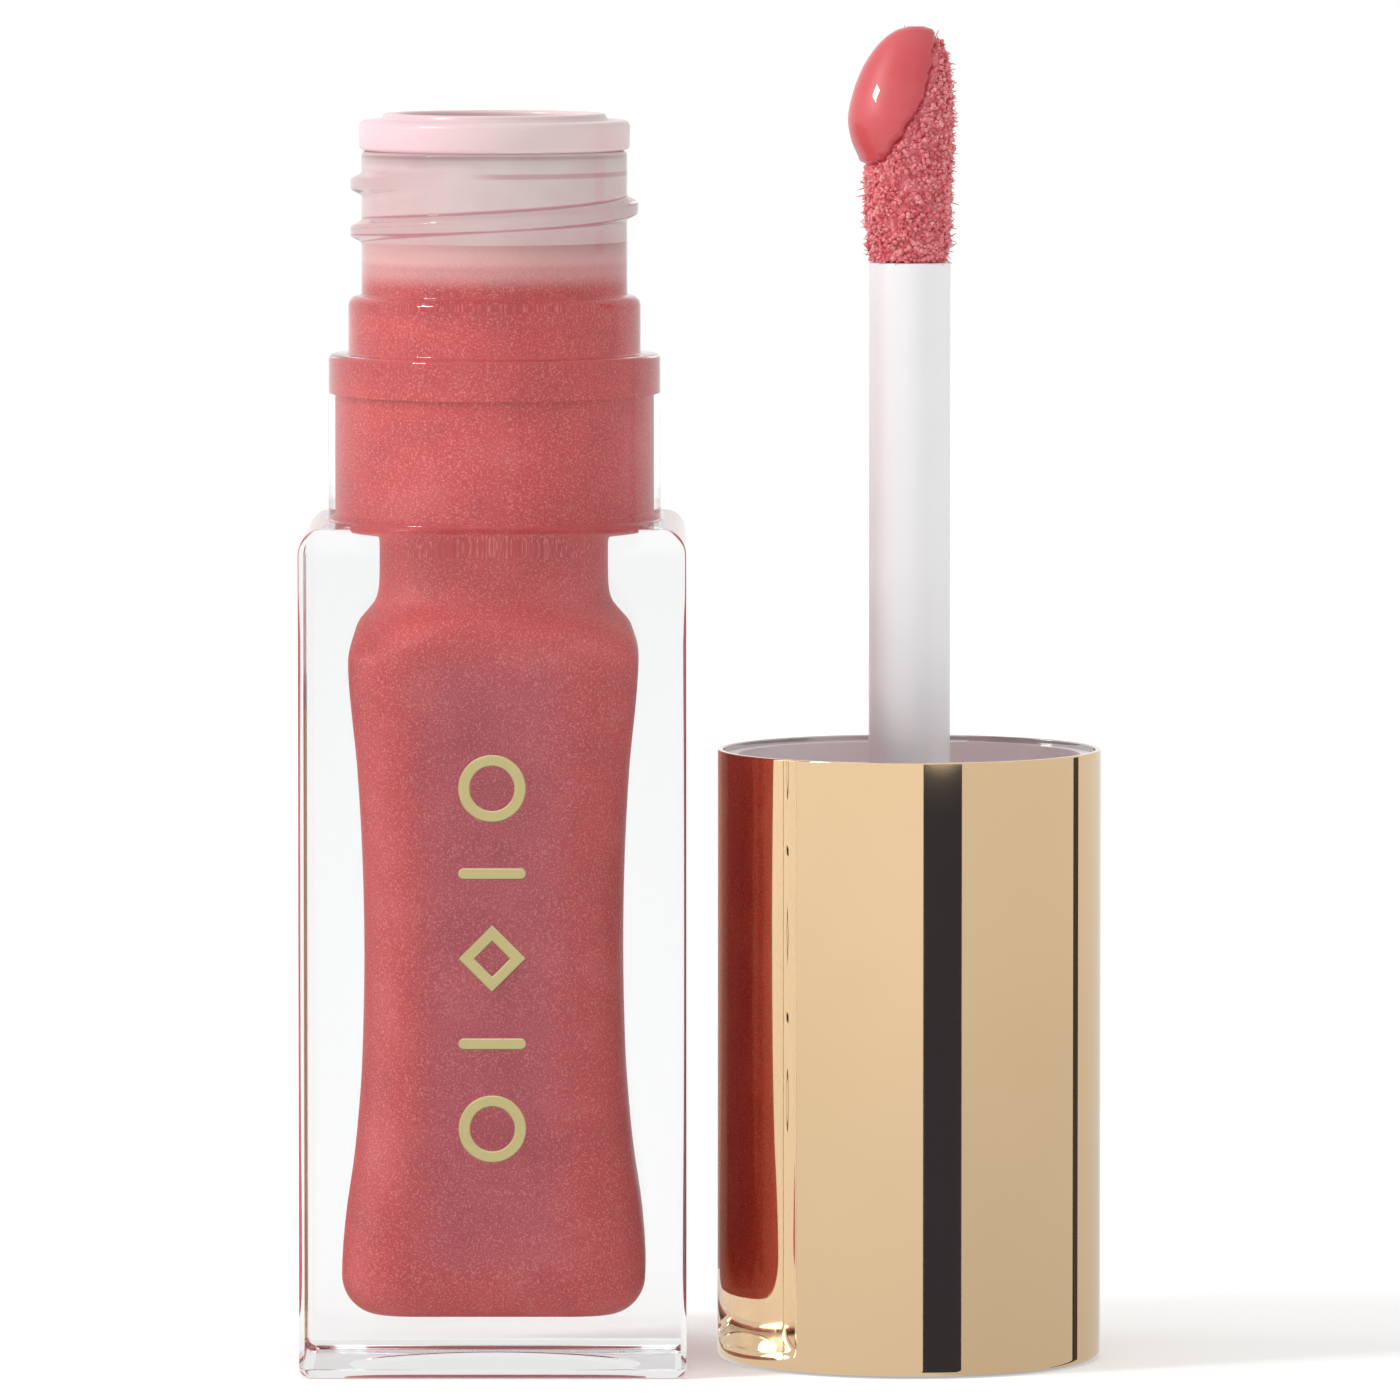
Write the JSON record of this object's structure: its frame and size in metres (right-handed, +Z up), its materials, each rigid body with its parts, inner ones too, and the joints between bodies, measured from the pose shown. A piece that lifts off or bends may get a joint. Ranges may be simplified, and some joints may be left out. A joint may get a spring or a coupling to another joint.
{
  "type": "lip gloss tube",
  "caption": "Open lip gloss tube: a clear square bottle of gloss with a threaded neck and wiper, and its round gold cap standing upside down with the doe-foot wand up.",
  "frame": {"origin": "middle of the bottle's flat base, on the surface it stands on", "axes": "+Z up along the bottle; -Y is the ornamented front; +X points from the bottle to the cap that stands beside it"},
  "size_m": [0.0416, 0.0201, 0.0694],
  "materials": {
    "clear_bottle": "polished clear heavy wall",
    "milky_plastic": "translucent soft",
    "gloss": "wet pearl",
    "gold_foil": "raised foil",
    "gold_metal": "mirror gold",
    "cap_plastic": "smooth",
    "white_plastic": "smooth satin",
    "washer_foam": "soft",
    "flock": "short fibres wet with gloss"
  },
  "bodies": {
    "bottle": {"bottle": "clear_bottle", "wiper": "milky_plastic", "gloss_fill": "gloss", "foil_ring_low": "gold_foil", "foil_bar_low": "gold_foil", "foil_lozenge": "gold_foil", "foil_bar_high": "gold_foil", "foil_ring_high": "gold_foil"},
    "lifted_cap": {"tip_gloss": "gloss"},
    "inserted_cap": {"seal_washer": "washer_foam"},
    "screwed_wand": {"wand_stem": "white_plastic"},
    "turned_cap": {"cap_shell": "gold_metal", "inner_cap": "cap_plastic", "tip_core": "white_plastic", "tip_flock": "flock"}
  },
  "joints": [
    {"name": "turn_over", "type": "hinge", "parent": "bottle", "child": "lifted_cap", "pos_m": [0.01081, 0, 0.0694], "axis": [0, -1, 0], "range_deg": [0, 180]},
    {"name": "insert", "type": "slide", "parent": "lifted_cap", "child": "inserted_cap", "axis": [0, 0, 1], "range_m": [0, 0.05974], "deforming": ["tip_gloss"]},
    {"name": "cap_advance", "type": "slide", "parent": "inserted_cap", "child": "screwed_wand", "axis": [0, 0, 1], "range_m": [0, 0.00307]},
    {"name": "cap_turn", "type": "hinge", "parent": "screwed_wand", "child": "turned_cap", "pos_m": [0.02162, 0, 0], "axis": [0, 0, 1], "range_deg": [0, 450]}
  ],
  "couplings": [
    {"joint": "cap_advance", "follows": "cap_turn", "m_per_rad": 0.00038993}
  ]
}
